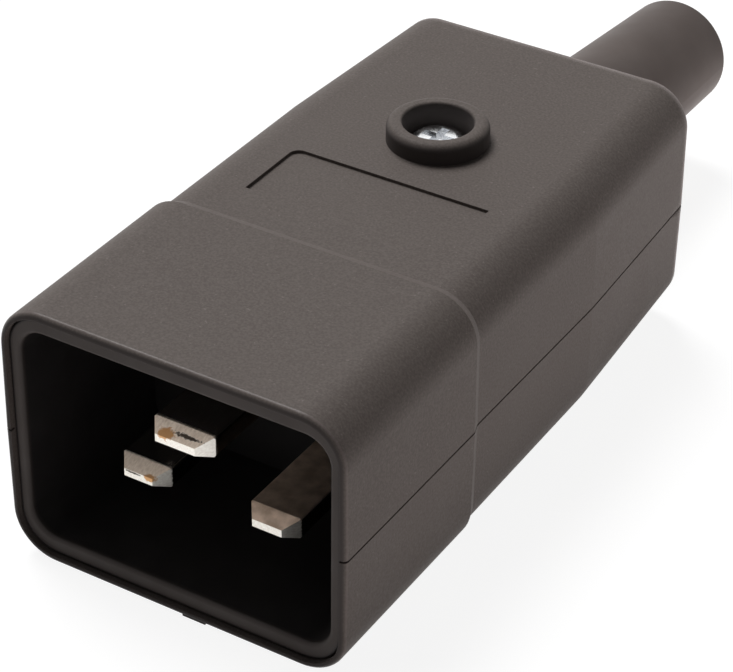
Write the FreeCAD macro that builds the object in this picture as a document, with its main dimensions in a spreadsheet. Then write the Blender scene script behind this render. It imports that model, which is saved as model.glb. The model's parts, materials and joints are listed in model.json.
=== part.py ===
import FreeCAD, Part
import os
import re
import Sketcher
from FreeCAD import Placement, Rotation, Vector
from math import cos, pi, radians, sin, sqrt

# Rewireable power plug: three flat pins in a rectangular shroud, held between two half shells.
# While modelling, x runs to the right seen from the front, y from the front rim to the rear
# and z up from the split plane where the shells meet. Millimetres and degrees.

SIZES = {
    # Outside of the housing, above and below the split plane
    "front_width": 33.86,
    "front_rise": 12.99,
    "front_drop": 12.68,
    "corner_radius": 4.3,
    "side_draft": 0.6,
    "ramp_length": 1.1,
    "step_side": 0.38,
    "step_rise": 0.5,
    "step_drop": 0.2,
    "mid_corner": 4.1,
    "knee_fall": 0.1,
    "knee_lift": 0.25,
    "rear_inset": 1.03,
    "rear_fall": 0.03,
    "rear_lift": 0.65,
    "front_edge_radius": 0.5,
    "rear_edge_radius": 0.28,
    "split_groove": 0.2,
    "gate_width": 2.3,
    "gate_height": 0.3,
    "gate_setback": 0.1,
    "gate_offset": 1.9,
    # Walls and clearances
    "lip": 0.66,
    "wall": 2.2,
    "lock_rib": 1.6,
    "fit_gap": 0.05,
    "flange_gap": 0.3,
    # Pin carrier
    "rim_setback": 0.5,
    "shroud_side": 1.15,
    "shroud_cap": 1.6,
    "shroud_depth": 18.4,
    "base_wall": 1.7,
    "neck_inset": 3.2,
    "flange_length": 3.0,
    "mouth_edge_radius": 0.4,
    "rim_edge_radius": 0.25,
    "partition": 1.2,
    # Pins and their terminals
    "pin_pitch": 13.0,
    "line_drop": 3.8,
    "earth_rise": 4.4,
    "line_width": 5.0,
    "earth_width": 6.0,
    "pin_thickness": 2.0,
    "line_tip": 4.45,
    "earth_tip": 0.95,
    "tip_length": 1.5,
    "tip_side_bevel": 1.05,
    "tip_face_bevel": 0.63,
    "pin_edge_radius": 0.25,
    "shoulder_depth": 1.6,
    "tail_width": 7.6,
    "tail_length": 9.4,
    "washer_size": 6.6,
    "washer_thickness": 1.2,
    "terminal_thread_radius": 1.75,
    "terminal_head_radius": 2.9,
    "terminal_head": 2.0,
    "small_head_round": 0.7,
    "terminal_screw_end": 1.5,
    # Housing screw, its collar and its nut
    "wire_room": 3.4,
    "boss_radius": 4.72,
    "collar_height": 1.95,
    "collar_edge_radius": 0.75,
    "well_radius": 3.26,
    "well_edge_radius": 0.3,
    "head_below_collar": 1.6,
    "screw_head_radius": 2.75,
    "screw_head": 2.3,
    "screw_head_round": 1.1,
    "screw_radius": 1.95,
    "recess_reach": 1.5,
    "recess_width": 0.8,
    "recess_depth": 1.1,
    "nut_flats": 7.0,
    "nut_thickness": 3.2,
    "nut_cover": 1.2,
    # Bare recessed panel on top
    "panel_setback": 4.7,
    "panel_width": 19.9,
    "panel_length": 8.1,
    "panel_front_corner": 2.2,
    "panel_rear_corner": 1.0,
    "panel_depth": 0.3,
    # Cord clamp
    "clamp_room": 1.8,
    "clamp_length": 7.0,
    "clamp_band": 1.8,
    "clamp_ear": 2.8,
    "clamp_seat": 0.6,
    "clamp_side_gap": 0.75,
    "post_radius": 3.0,
    "clamp_screw_radius": 1.4,
    "clamp_head_radius": 2.6,
    "clamp_head": 1.9,
    "clamp_screw_length": 11.0,
    "grip_rib": 0.9,
    "grip_depth": 0.4,
    "grip_spacing": 2.4,
    # Bend relief sleeve and its seat
    "sleeve_room": 0.9,
    "seat_wall": 1.6,
    "sleeve_flange": 2.2,
    "rear_wall": 2.2,
    "sleeve_lip": 2.0,
    "sleeve_bore": 4.5,
    "sleeve_root_wall": 2.1,
    "sleeve_tip_wall": 1.3,
    "sleeve_stub": 0.3,
    "sag_radius": 24.0,
    "sleeve_sag": 3.5,
    "sleeve_run": 28.7,
    "sleeve_edge_radius": 0.3,
    # Locating pegs between the shells
    "peg_radius": 1.0,
    "peg_height": 1.4,
    "peg_wall": 2.2,
}

# Worked-out sizes, each a formula on the sizes above and on the lines before it
FITS = {
    # Stations along the plug, front to rear
    "front_plane": "0",
    "carrier_end": "rim_setback + shroud_depth + base_wall",
    "front_length": "carrier_end",
    "ramp_end": "front_length + ramp_length",
    "rib_end": "carrier_end + lock_rib",
    "flange_start": "rib_end + fit_gap",
    "flange_end": "flange_start + flange_length",
    "shoulder": "flange_end - shoulder_depth",
    "tail_end": "flange_end + tail_length",
    "terminal_depth": "flange_end + tail_length / 2",
    "screw_depth": "tail_end + wire_room + boss_radius",
    "knee_depth": "screw_depth",
    "clamp_start": "screw_depth + boss_radius + clamp_room",
    "clamp_depth": "clamp_start + clamp_length / 2",
    "chamber_end": "clamp_start + clamp_length + sleeve_room",
    "sleeve_start": "chamber_end + seat_wall + fit_gap",
    "body_length": "sleeve_start + sleeve_flange + rear_wall",
    "peg_depth": "(chamber_end + body_length) / 2",
    # Outer sections of the housing
    "front_half": "front_width / 2",
    "mid_half": "front_half - step_side",
    "mid_rise": "front_rise - step_rise",
    "mid_drop": "front_drop - step_drop",
    "knee_rise": "mid_rise - knee_fall",
    "knee_drop": "mid_drop - knee_lift",
    "rear_half": "mid_half - rear_inset",
    "rear_rise": "knee_rise - rear_fall",
    "rear_drop": "knee_drop - rear_lift",
    "front_round": "min(front_edge_radius; 0.9 * lip)",
    "front_groove": "front_half - split_groove",
    "mid_groove": "mid_half - split_groove",
    "rear_groove": "rear_half - split_groove",
    "groove_reach": "2 * split_groove",
    "groove_open": "split_groove",
    # Wiring chamber, a wall inside the outer sections
    "chamber_corner": "mid_corner - wall",
    "chamber_half": "mid_half - wall",
    "chamber_rise": "mid_rise - wall",
    "chamber_drop": "mid_drop - wall",
    "chamber_knee_rise": "knee_rise - wall",
    "chamber_knee_drop": "knee_drop - wall",
    "chamber_share": "(chamber_end - knee_depth) / (body_length - knee_depth)",
    "chamber_rear_half": "chamber_half - rear_inset * chamber_share",
    "chamber_rear_rise": "chamber_knee_rise - rear_fall * chamber_share",
    "chamber_rear_drop": "chamber_knee_drop - rear_lift * chamber_share",
    # Shroud of the pin carrier and the mouth that it stands in
    "section_centre": "(front_rise - front_drop) / 2",
    "mouth_width": "front_width - 2 * lip",
    "mouth_height": "front_rise + front_drop - 2 * lip",
    "mouth_corner": "corner_radius - lip",
    "shroud_width": "mouth_width - 2 * fit_gap",
    "shroud_height": "mouth_height - 2 * fit_gap",
    "shroud_corner": "mouth_corner - fit_gap",
    "shroud_length": "carrier_end - rim_setback",
    "opening_width": "shroud_width - 2 * shroud_side",
    "opening_height": "shroud_height - 2 * shroud_cap",
    "opening_corner": "shroud_corner - shroud_side",
    "neck_width": "opening_width - 2 * neck_inset + 2 * shroud_side",
    "neck_height": "opening_height - 2 * neck_inset + 2 * shroud_side",
    "window_width": "neck_width + 2 * fit_gap",
    "window_height": "neck_height + 2 * fit_gap",
    "flange_width": "2 * (chamber_half - flange_gap)",
    "flange_height": "chamber_rise + chamber_drop - 2 * flange_gap",
    "flange_centre": "(chamber_rise - chamber_drop) / 2",
    "flange_corner": "chamber_corner",
    "neck_length": "flange_start - carrier_end",
    "partition_height": "chamber_drop - flange_gap",
    "partition_length": "tail_length",
    # Pins
    "line_tip_width": "line_width - 2 * tip_side_bevel",
    "earth_tip_width": "earth_width - 2 * tip_side_bevel",
    "tip_thickness": "pin_thickness - 2 * tip_face_bevel",
    "line_blade": "shoulder - line_tip - tip_length",
    "earth_blade": "shoulder - earth_tip - tip_length",
    "tail_reach": "tail_end - shoulder",
    "line_slot": "line_width + 2 * fit_gap",
    "earth_slot": "earth_width + 2 * fit_gap",
    "tail_slot": "tail_width + 2 * fit_gap",
    "pin_slot": "pin_thickness + 2 * fit_gap",
    "terminal_hole": "terminal_thread_radius + fit_gap",
    "terminal_shank": "washer_thickness + pin_thickness + terminal_screw_end",
    "terminal_slot": "2 * terminal_head_radius",
    "pin_clearance": "2 * pin_thickness",
    # Housing screw and nut
    "collar_top": "knee_rise + collar_height",
    "head_top": "collar_top - head_below_collar",
    "head_seat": "head_top - screw_head",
    "well_depth": "head_below_collar + screw_head",
    "screw_hole": "screw_radius + fit_gap",
    "nut_bottom": "knee_drop - nut_cover",
    "nut_seat": "nut_bottom - nut_thickness",
    "nut_pocket": "front_drop - nut_seat",
    "nut_pocket_flats": "nut_flats + 2 * fit_gap",
    "screw_shank": "head_seat + nut_bottom",
    "recess_span": "2 * recess_reach",
    "panel_depth_centre": "ramp_end + panel_setback + panel_length / 2",
    "panel_floor": "mid_rise - knee_fall / 2 - panel_depth",
    "panel_cut": "panel_depth + step_rise",
    # Cord clamp
    "grip_arch": "sleeve_bore",
    "clamp_arch": "grip_arch + grip_depth",
    "grip_end": "(clamp_length - grip_spacing) / 2 - grip_rib",
    "clamp_crown": "clamp_arch + clamp_band",
    "clamp_underside": "2 * clamp_crown",
    "clamp_slot": "2 * clamp_head_radius",
    "clamp_width": "2 * (chamber_rear_half - clamp_side_gap)",
    "post_place": "clamp_width / 2 - post_radius",
    "clamp_top": "clamp_seat + clamp_ear",
    "clamp_hole": "clamp_screw_radius + fit_gap",
    "post_height": "clamp_seat + chamber_knee_drop + wall / 4",
    "boss_depth": "knee_drop - wall / 2",
    # Bend relief sleeve
    "sleeve_root": "sleeve_bore + sleeve_root_wall",
    "sleeve_tip": "sleeve_bore + sleeve_tip_wall",
    "sleeve_flange_radius": "sleeve_root + sleeve_lip",
    "sleeve_neck": "rear_wall + sleeve_stub",
    "sleeve_inner_bore": "sleeve_flange + sleeve_neck",
    "bend_start": "body_length + sleeve_stub",
    "bend_end": "bend_start + sag_radius * sin(sleeve_sag)",
    "bend_fall": "sag_radius * (1 - cos(sleeve_sag))",
    "tip_depth": "bend_end + sleeve_run * cos(sleeve_sag)",
    "tip_fall": "bend_fall + sleeve_run * sin(sleeve_sag)",
    "sleeve_hole": "sleeve_root + fit_gap",
    "flange_seat_radius": "sleeve_flange_radius + fit_gap",
    "flange_seat": "sleeve_flange + fit_gap",
    "cord_hole": "sleeve_bore + fit_gap",
    "peg_place": "flange_seat_radius + peg_wall + peg_radius",
    "peg_hole": "peg_radius + fit_gap",
    "peg_hole_depth": "peg_height + 2 * fit_gap",
    # The origin is under the middle of the plug's length, on the surface that it lies on
    "overall_length": "tip_depth + sleeve_tip * sin(sleeve_sag)",
    "half_length": "overall_length / 2",
}

UPPER = 1
LOWER = -1
FULL_TURN = 360.0
ON_PLANE = 1e-4

doc = FreeCAD.newDocument("iec_power_plug")
sheet = doc.addObject("Spreadsheet::Sheet", "Sizes")
fits = doc.addObject("App::VarSet", "Fits")


def bound(formula):
    """Expression text in which each size's name points to where the document keeps it."""
    def place(match):
        word = match.group()
        if word in SIZES:
            return "Sizes." + word
        return "Fits." + word if word in FITS else word
    return re.sub(r"[a-z_]+", place, formula)


def number(name):
    """Present value of a named size."""
    return sheet.get(name) if name in SIZES else getattr(fits, name)


def fill_sizes():
    """Write the driving sizes into the sheet and the worked-out ones beside it."""
    for row, (name, size) in enumerate(SIZES.items(), start=1):
        sheet.set(f"A{row}", name)
        sheet.set(f"B{row}", str(size))
        sheet.setAlias(f"B{row}", name)
    doc.recompute()
    for name, formula in FITS.items():
        fits.addProperty("App::PropertyFloat", name, "Fits")
        fits.setExpression(name, bound(formula))
    doc.recompute()


# Bodies, sketches and their profiles

def new_body(label, x="0", y="0", z="0"):
    """Body whose own origin stands at x, y, z of the plug."""
    body = doc.addObject("PartDesign::Body", label)
    body.Label = label
    body.setExpression("Placement.Base.x", bound(x))
    body.setExpression("Placement.Base.y", bound(f"{y} - half_length"))
    body.setExpression("Placement.Base.z", bound(f"{z} + front_drop"))
    return body


def new_sketch(body, name, role, across="0", up="0", out="0"):
    """Sketch on one of the body's own origin planes, moved in it and out of it."""
    sketch = body.newObject("Sketcher::SketchObject", f"{body.Label}_{name}")
    plane = next(item for item in body.Origin.OriginFeatures if item.Role == role)
    sketch.AttachmentSupport = [(plane, "")]
    sketch.MapMode = "FlatFace"
    for axis, formula in (("x", across), ("y", up), ("z", out)):
        sketch.setExpression(f"AttachmentOffset.Base.{axis}", bound(formula))
    return sketch


def section_at(body, name, depth, across="0", up="0"):
    """Sketch across the plug at a depth behind the front rim; its normal points forward."""
    return new_sketch(body, name, "XZ_Plane", across, up, f"-({depth})")


def plan_at(body, name, level, across="0", depth="0"):
    """Sketch seen from above at a height over the split plane; its normal points up."""
    return new_sketch(body, name, "XY_Plane", across, depth, level)


def dimension(sketch, kind, where, name, share=1.0):
    """Constraint tied to a share of a named size."""
    label = f"{name}_{sketch.ConstraintCount}"
    index = sketch.addConstraint(Sketcher.Constraint(kind, *where, share * number(name)))
    sketch.renameConstraint(index, label)
    sketch.setExpression(f"Constraints.{label}", f"{bound(name)} * {share}")


def constrain(sketch, *rules):
    """Constraints that have no size."""
    for rule in rules:
        sketch.addConstraint(Sketcher.Constraint(*rule))


def line(start, end):
    return Part.LineSegment(Vector(*start, 0), Vector(*end, 0))


def arc(centre, radius, start, end):
    return Part.ArcOfCircle(Part.Circle(Vector(*centre, 0), Vector(0, 0, 1), radius), start, end)


def circle(sketch, radius):
    sketch.addGeometry(Part.Circle(Vector(), Vector(0, 0, 1), number(radius)))
    constrain(sketch, ("Coincident", 0, 3, -1, 1))
    dimension(sketch, "Radius", (0,), radius)
    return sketch


def raised_circle(sketch, radius, lift):
    """Circle straight above the sketch's origin."""
    sketch.addGeometry(Part.Circle(Vector(0, number(lift), 0), Vector(0, 0, 1), number(radius)))
    constrain(sketch, ("PointOnObject", 0, 3, -2))
    dimension(sketch, "DistanceY", (-1, 1, 0, 3), lift)
    dimension(sketch, "Radius", (0,), radius)
    return sketch


def rectangle(sketch, width, height):
    """Sharp rectangle about the sketch's origin."""
    x, y = number(width) / 2, number(height) / 2
    corners = [(x, -y), (x, y), (-x, y), (-x, -y)]
    for index in range(4):
        sketch.addGeometry(line(corners[index], corners[(index + 1) % 4]))
    for index in range(4):
        constrain(sketch, ("Coincident", index, 2, (index + 1) % 4, 1))
    constrain(sketch, ("Vertical", 0), ("Horizontal", 1), ("Vertical", 2), ("Horizontal", 3))
    dimension(sketch, "DistanceX", (-1, 1, 0, 1), width, 0.5)
    dimension(sketch, "DistanceX", (2, 1, -1, 1), width, 0.5)
    dimension(sketch, "DistanceY", (-1, 1, 1, 1), height, 0.5)
    dimension(sketch, "DistanceY", (3, 1, -1, 1), height, 0.5)
    return sketch


def rounded_rectangle(sketch, width, height, corner):
    """Rectangle with round corners about the sketch's origin: right, top, left, bottom side."""
    x, y, r = number(width) / 2, number(height) / 2, number(corner)
    sides = [((x, r - y), (x, y - r)), ((x - r, y), (r - x, y)),
             ((-x, y - r), (-x, r - y)), ((r - x, -y), (x - r, -y))]
    centres = [(x - r, y - r), (r - x, y - r), (r - x, r - y), (x - r, r - y)]
    for index in range(4):
        sketch.addGeometry(line(*sides[index]))
        sketch.addGeometry(arc(centres[index], r, index * pi / 2, (index + 1) * pi / 2))
    for index in range(8):
        constrain(sketch, ("Tangent", index, 2, (index + 1) % 8, 1))
    constrain(sketch, ("Vertical", 0), ("Horizontal", 2), ("Vertical", 4), ("Horizontal", 6))
    constrain(sketch, ("Equal", 1, 3), ("Equal", 1, 5), ("Equal", 1, 7))
    dimension(sketch, "Radius", (1,), corner)
    dimension(sketch, "DistanceX", (-1, 1, 0, 1), width, 0.5)
    dimension(sketch, "DistanceX", (4, 1, -1, 1), width, 0.5)
    dimension(sketch, "DistanceY", (-1, 1, 2, 1), height, 0.5)
    dimension(sketch, "DistanceY", (6, 1, -1, 1), height, 0.5)
    return sketch


def hexagon(sketch, flats):
    """Regular hexagon about the sketch's origin, on a construction circle inside its sides."""
    radius = number(flats) / sqrt(3)
    corners = [(radius * cos(k * pi / 3), radius * sin(k * pi / 3)) for k in range(6)]
    for index in range(6):
        sketch.addGeometry(line(corners[index], corners[(index + 1) % 6]))
    sketch.addGeometry(Part.Circle(Vector(), Vector(0, 0, 1), number(flats) / 2), True)
    constrain(sketch, ("Coincident", 6, 3, -1, 1))
    for index in range(6):
        constrain(sketch, ("Coincident", index, 2, (index + 1) % 6, 1), ("Tangent", index, 6))
    for index in range(4):
        constrain(sketch, ("Equal", index, index + 1))
    constrain(sketch, ("Horizontal", 1))
    dimension(sketch, "Radius", (6,), flats, 0.5)
    return sketch


def half_section(sketch, half, height, corner, side):
    """Half of the housing's section: sides with draft, round corners, flat on the split plane."""
    draft = radians(number("side_draft"))
    w, h, r = number(half), number(height), number(corner)
    run = (h - r + r * sin(draft)) / cos(draft)
    tangent = (w - run * sin(draft), run * cos(draft))
    middle = (tangent[0] - r * cos(draft), h - r)
    turn = 0 if side == UPPER else pi

    def at(x, y):
        return (side * x, side * y)

    sketch.addGeometry(line(at(-w, 0), at(w, 0)))
    sketch.addGeometry(line(at(w, 0), at(*tangent)))
    sketch.addGeometry(arc(at(*middle), r, draft + turn, pi / 2 + turn))
    sketch.addGeometry(line(at(middle[0], h), at(-middle[0], h)))
    sketch.addGeometry(arc(at(-middle[0], middle[1]), r, pi / 2 + turn, pi - draft + turn))
    sketch.addGeometry(line(at(-tangent[0], tangent[1]), at(-w, 0)))
    constrain(sketch, ("Coincident", 0, 2, 1, 1), ("Coincident", 5, 2, 0, 1))
    for index in range(1, 5):
        constrain(sketch, ("Tangent", index, 2, index + 1, 1))
    constrain(sketch, ("Horizontal", 3), ("PointOnObject", 0, 1, -1), ("PointOnObject", 0, 2, -1))
    constrain(sketch, ("Equal", 2, 4), ("Equal", 1, 5))
    left, right = (1, 2) if side == UPPER else (2, 1)
    dimension(sketch, "DistanceX", (0, left, -1, 1), half)
    dimension(sketch, "DistanceX", (-1, 1, 0, right), half)
    dimension(sketch, "Radius", (2,), corner)
    dimension(sketch, "Distance", (-1, 1, 3), height)
    lean = sketch.addConstraint(Sketcher.Constraint("Angle", 1, side * pi / 2 + draft))
    sketch.renameConstraint(lean, "lean")
    sketch.setExpression("Constraints.lean", bound(f"{side} * 90 + side_draft"))
    return sketch


def groove_section(sketch, inner, sign):
    """Wedge that opens outwards, for the fine groove along the split plane on one side."""
    tip, half = number(inner), number("groove_open")
    mouth = tip + number("groove_reach")
    corners = [(sign * tip, 0), (sign * mouth, -sign * half), (sign * mouth, sign * half)]
    for index in range(3):
        sketch.addGeometry(line(corners[index], corners[(index + 1) % 3]))
    for index in range(3):
        constrain(sketch, ("Coincident", index, 2, (index + 1) % 3, 1))
    constrain(sketch, ("PointOnObject", 0, 1, -1), ("Vertical", 1))
    low, high = (1, 2) if sign > 0 else (2, 1)
    from_middle = (-1, 1, 0, 1) if sign > 0 else (0, 1, -1, 1)
    from_tip = (0, 1, 1, 1) if sign > 0 else (1, 1, 0, 1)
    dimension(sketch, "DistanceX", from_middle, inner)
    dimension(sketch, "DistanceX", from_tip, "groove_reach")
    dimension(sketch, "DistanceY", (1, low, -1, 1), "groove_open")
    dimension(sketch, "DistanceY", (-1, 1, 1, high), "groove_open")
    return sketch


def stepped_profile(sketch, steps):
    """Half profile of a turned form: from the axis out and along, one radius after another."""
    points = [(0, 0)]
    reach = 0
    for radius, length in steps:
        points.append((number(radius), reach))
        reach += number(length)
        points.append((number(radius), reach))
    points.append((0, reach))
    count = len(points)
    for index in range(count):
        sketch.addGeometry(line(points[index], points[(index + 1) % count]))
    for index in range(count):
        rule = "Vertical" if index % 2 else "Horizontal"
        constrain(sketch, ("Coincident", index, 2, (index + 1) % count, 1), (rule, index))
    constrain(sketch, ("Coincident", 0, 1, -1, 1))
    for index, (radius, length) in enumerate(steps):
        dimension(sketch, "DistanceX", (-1, 1, 2 * index + 1, 1), radius)
        dimension(sketch, "DistanceY", (2 * index + 1, 1, 2 * index + 1, 2), length)
    return sketch


# Features

def pad(body, sketch, length, flip=False):
    feature = body.newObject("PartDesign::Pad", f"{sketch.Name}_pad")
    feature.Profile = sketch
    feature.setExpression("Length", bound(length))
    feature.Reversed = flip
    return feature


def pocket(body, sketch, length, flip=False):
    feature = body.newObject("PartDesign::Pocket", f"{sketch.Name}_pocket")
    feature.Profile = sketch
    feature.setExpression("Length", bound(length))
    feature.Reversed = flip
    return feature


def loft(body, sketches, kind="PartDesign::AdditiveLoft"):
    """Straight-sided form through sections listed front to rear; it grows along their normals."""
    rear, *others = reversed(sketches)
    feature = body.newObject(kind, f"{rear.Name}_loft")
    feature.Profile = rear
    feature.Sections = [(sketch, "") for sketch in others]
    feature.Ruled = True
    return feature


def revolve(body, sketch, kind="PartDesign::Revolution", axis="V_Axis", angle=str(FULL_TURN)):
    feature = body.newObject(kind, f"{sketch.Name}_turned")
    feature.Profile = sketch
    feature.ReferenceAxis = (sketch, [axis])
    feature.setExpression("Angle", bound(angle))
    return feature


def round_edges(body, radius, wanted):
    """Fillet on the edges of the body so far that the wanted() test picks."""
    doc.recompute()
    base = body.Tip
    names = [f"Edge{k}" for k, edge in enumerate(base.Shape.Edges, start=1) if wanted(edge)]
    if not names:
        raise RuntimeError(f"{body.Label}: no edge to round by {radius}")
    feature = body.newObject("PartDesign::Fillet", f"{body.Label}_{radius}")
    feature.Base = (base, names)
    feature.setExpression("Radius", bound(radius))
    return feature


def lies_at(edge, axis, value):
    """Whether both ends and the middle of an edge have one coordinate in common."""
    middle = edge.valueAt((edge.FirstParameter + edge.LastParameter) / 2)
    points = [vertex.Point for vertex in edge.Vertexes] + [middle]
    return all(abs(getattr(point, axis) - value) < ON_PLANE for point in points)


def ring_at(edge, level, radius):
    """Whether an edge is a circle of this radius at this height."""
    curve = edge.Curve
    return (curve.TypeId == "Part::GeomCircle" and lies_at(edge, "z", level)
            and abs(curve.Radius - radius) < ON_PLANE)


# Housing

OUTER_STATIONS = [
    ("front_plane", "front_half", "corner_radius", "front_rise", "front_drop"),
    ("front_length", "front_half", "corner_radius", "front_rise", "front_drop"),
    ("ramp_end", "mid_half", "mid_corner", "mid_rise", "mid_drop"),
    ("knee_depth", "mid_half", "mid_corner", "knee_rise", "knee_drop"),
    ("body_length", "rear_half", "mid_corner", "rear_rise", "rear_drop"),
]
GROOVE_STATIONS = [
    ("front_plane", "front_groove"),
    ("front_length", "front_groove"),
    ("ramp_end", "mid_groove"),
    ("knee_depth", "mid_groove"),
    ("body_length", "rear_groove"),
]
CHAMBER_STATIONS = [
    ("rib_end", "chamber_half", "chamber_corner", "chamber_rise", "chamber_drop"),
    ("knee_depth", "chamber_half", "chamber_corner", "chamber_knee_rise", "chamber_knee_drop"),
    ("chamber_end", "chamber_rear_half", "chamber_corner", "chamber_rear_rise", "chamber_rear_drop"),
]


def half_sections(body, name, stations, side):
    """One half section for each station along the plug."""
    sketches = []
    for index, (depth, half, corner, rise, drop) in enumerate(stations):
        sketch = section_at(body, f"{name}_{index}", depth)
        sketches.append(half_section(sketch, half, rise if side == UPPER else drop, corner, side))
    return sketches


def shell(label, side):
    """Half shell: outer form, mouth for the shroud, lock rib, wiring chamber and sleeve seat."""
    body = new_body(label)
    loft(body, half_sections(body, "outer", OUTER_STATIONS, side))

    def on_rim(edge, depth):
        return lies_at(edge, "y", number(depth)) and not lies_at(edge, "z", 0)

    round_edges(body, "front_round", lambda edge: on_rim(edge, "front_plane"))
    round_edges(body, "rear_edge_radius", lambda edge: on_rim(edge, "body_length"))
    for name, sign in (("groove_right", 1), ("groove_left", -1)):
        wedges = []
        for index, (depth, inner) in enumerate(GROOVE_STATIONS):
            wedges.append(groove_section(section_at(body, f"{name}_{index}", depth), inner, sign))
        loft(body, wedges, "PartDesign::SubtractiveLoft")
    notch = section_at(body, "notch", "front_plane")
    pocket(body, rectangle(notch, "front_width", "split_groove"), "front_round")
    mouth = section_at(body, "mouth", "front_plane", up="section_centre")
    pocket(body, rounded_rectangle(mouth, "mouth_width", "mouth_height", "mouth_corner"), "carrier_end")
    window = section_at(body, "window", "front_plane", up="section_centre")
    pocket(body, rectangle(window, "window_width", "window_height"), "rib_end")
    chamber = half_sections(body, "chamber", CHAMBER_STATIONS, side)
    loft(body, chamber, "PartDesign::SubtractiveLoft")
    seat = plan_at(body, "seat", "0", depth="chamber_end")
    stepped_profile(seat, [("cord_hole", "seat_wall"), ("flange_seat_radius", "flange_seat"),
                           ("sleeve_hole", "rear_wall")])
    revolve(body, seat, "PartDesign::Groove")
    return body


def round_panel_corner(body, radius, right, rear):
    """Rounding of one upright corner of the panel on the upper shell."""
    x = right * number("panel_width") / 2
    y = number("panel_depth_centre") + rear * number("panel_length") / 2
    round_edges(body, radius, lambda edge: lies_at(edge, "x", x) and lies_at(edge, "y", y))


def upper_shell():
    """Upper half: collar and well of the housing screw, bare panel, peg holes."""
    body = shell("upper_shell", UPPER)
    boss = plan_at(body, "boss", "0", depth="screw_depth")
    pad(body, circle(boss, "boss_radius"), "collar_top")
    well = plan_at(body, "well", "collar_top", depth="screw_depth")
    pocket(body, circle(well, "well_radius"), "well_depth")
    hole = plan_at(body, "hole", "collar_top", depth="screw_depth")
    pocket(body, circle(hole, "screw_hole"), "collar_top")
    panel = plan_at(body, "panel", "panel_floor", depth="panel_depth_centre")
    pocket(body, rectangle(panel, "panel_width", "panel_length"), "panel_cut", flip=True)
    for name, across in (("peg_right", "peg_place"), ("peg_left", "-peg_place")):
        peg = plan_at(body, name, "0", across, "peg_depth")
        pocket(body, circle(peg, "peg_hole"), "peg_hole_depth", flip=True)
    top = number("collar_top")
    round_panel_corner(body, "panel_front_corner", 1, -1)
    round_panel_corner(body, "panel_rear_corner", -1, 1)
    round_edges(body, "collar_edge_radius", lambda edge: ring_at(edge, top, number("boss_radius")))
    round_edges(body, "well_edge_radius", lambda edge: ring_at(edge, top, number("well_radius")))
    return body


def lower_shell():
    """Lower half: trimmed moulding gate, screw boss with nut pocket, clamp posts and pegs."""
    body = shell("lower_shell", LOWER)
    gate = section_at(body, "gate", "gate_setback", "gate_offset", "gate_height / 2 - front_drop")
    pad(body, rectangle(gate, "gate_width", "gate_height"), "front_round", flip=True)
    boss = plan_at(body, "boss", "0", depth="screw_depth")
    pad(body, circle(boss, "boss_radius"), "boss_depth", flip=True)
    hole = plan_at(body, "hole", "0", depth="screw_depth")
    pocket(body, circle(hole, "screw_hole"), "knee_drop")
    nut = plan_at(body, "nut", "-front_drop", depth="screw_depth")
    pocket(body, hexagon(nut, "nut_pocket_flats"), "nut_pocket", flip=True)
    for name, sign in (("right", ""), ("left", "-")):
        post = plan_at(body, f"post_{name}", "clamp_seat", f"{sign}post_place", "clamp_depth")
        pad(body, circle(post, "post_radius"), "post_height", flip=True)
        pilot = plan_at(body, f"pilot_{name}", "clamp_seat", f"{sign}post_place", "clamp_depth")
        pocket(body, circle(pilot, "clamp_hole"), "clamp_screw_length")
        peg = plan_at(body, f"peg_{name}", "0", f"{sign}peg_place", "peg_depth")
        pad(body, circle(peg, "peg_radius"), "peg_height")
    return body


# Pin carrier and pins

PINS = [
    ("line_pin", "line", "pin_pitch / 2", "-line_drop"),
    ("neutral_pin", "line", "-pin_pitch / 2", "-line_drop"),
    ("earth_pin", "earth", "0", "earth_rise"),
]


def pin_carrier():
    """Insert: shroud with its floor, neck in the shells' lock rib, flange and partition behind."""
    body = new_body("pin_carrier")
    shroud = section_at(body, "shroud", "rim_setback", up="section_centre")
    rounded_rectangle(shroud, "shroud_width", "shroud_height", "shroud_corner")
    pad(body, shroud, "shroud_length", flip=True)
    front = number("rim_setback")
    round_edges(body, "rim_edge_radius", lambda edge: lies_at(edge, "y", front))
    neck = section_at(body, "neck", "carrier_end", up="section_centre")
    pad(body, rectangle(neck, "neck_width", "neck_height"), "neck_length", flip=True)
    flange = section_at(body, "flange", "flange_start", up="flange_centre")
    rounded_rectangle(flange, "flange_width", "flange_height", "flange_corner")
    pad(body, flange, "flange_length", flip=True)
    partition = section_at(body, "partition", "flange_end", up="-partition_height / 2")
    pad(body, rectangle(partition, "partition", "partition_height"), "partition_length", flip=True)
    opening = section_at(body, "opening", "rim_setback", up="section_centre")
    rounded_rectangle(opening, "opening_width", "opening_height", "opening_corner")
    pocket(body, opening, "shroud_depth")
    inside = number("opening_width") / 2 + ON_PLANE

    def on_mouth(edge):
        reach = max(abs(vertex.Point.x) for vertex in edge.Vertexes)
        height = max(abs(vertex.Point.z - number("section_centre")) for vertex in edge.Vertexes)
        within = reach < inside and height < number("opening_height") / 2 + ON_PLANE
        return lies_at(edge, "y", front) and within

    round_edges(body, "mouth_edge_radius", on_mouth)
    for label, kind, across, level in PINS:
        slot = section_at(body, f"{label}_slot", "rim_setback", across, level)
        pocket(body, rectangle(slot, f"{kind}_slot", "pin_slot"), "flange_end")
        rest = section_at(body, f"{label}_rest", "shoulder", across, level)
        pocket(body, rectangle(rest, "tail_slot", "pin_slot"), "shoulder_depth")
    return body


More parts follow.
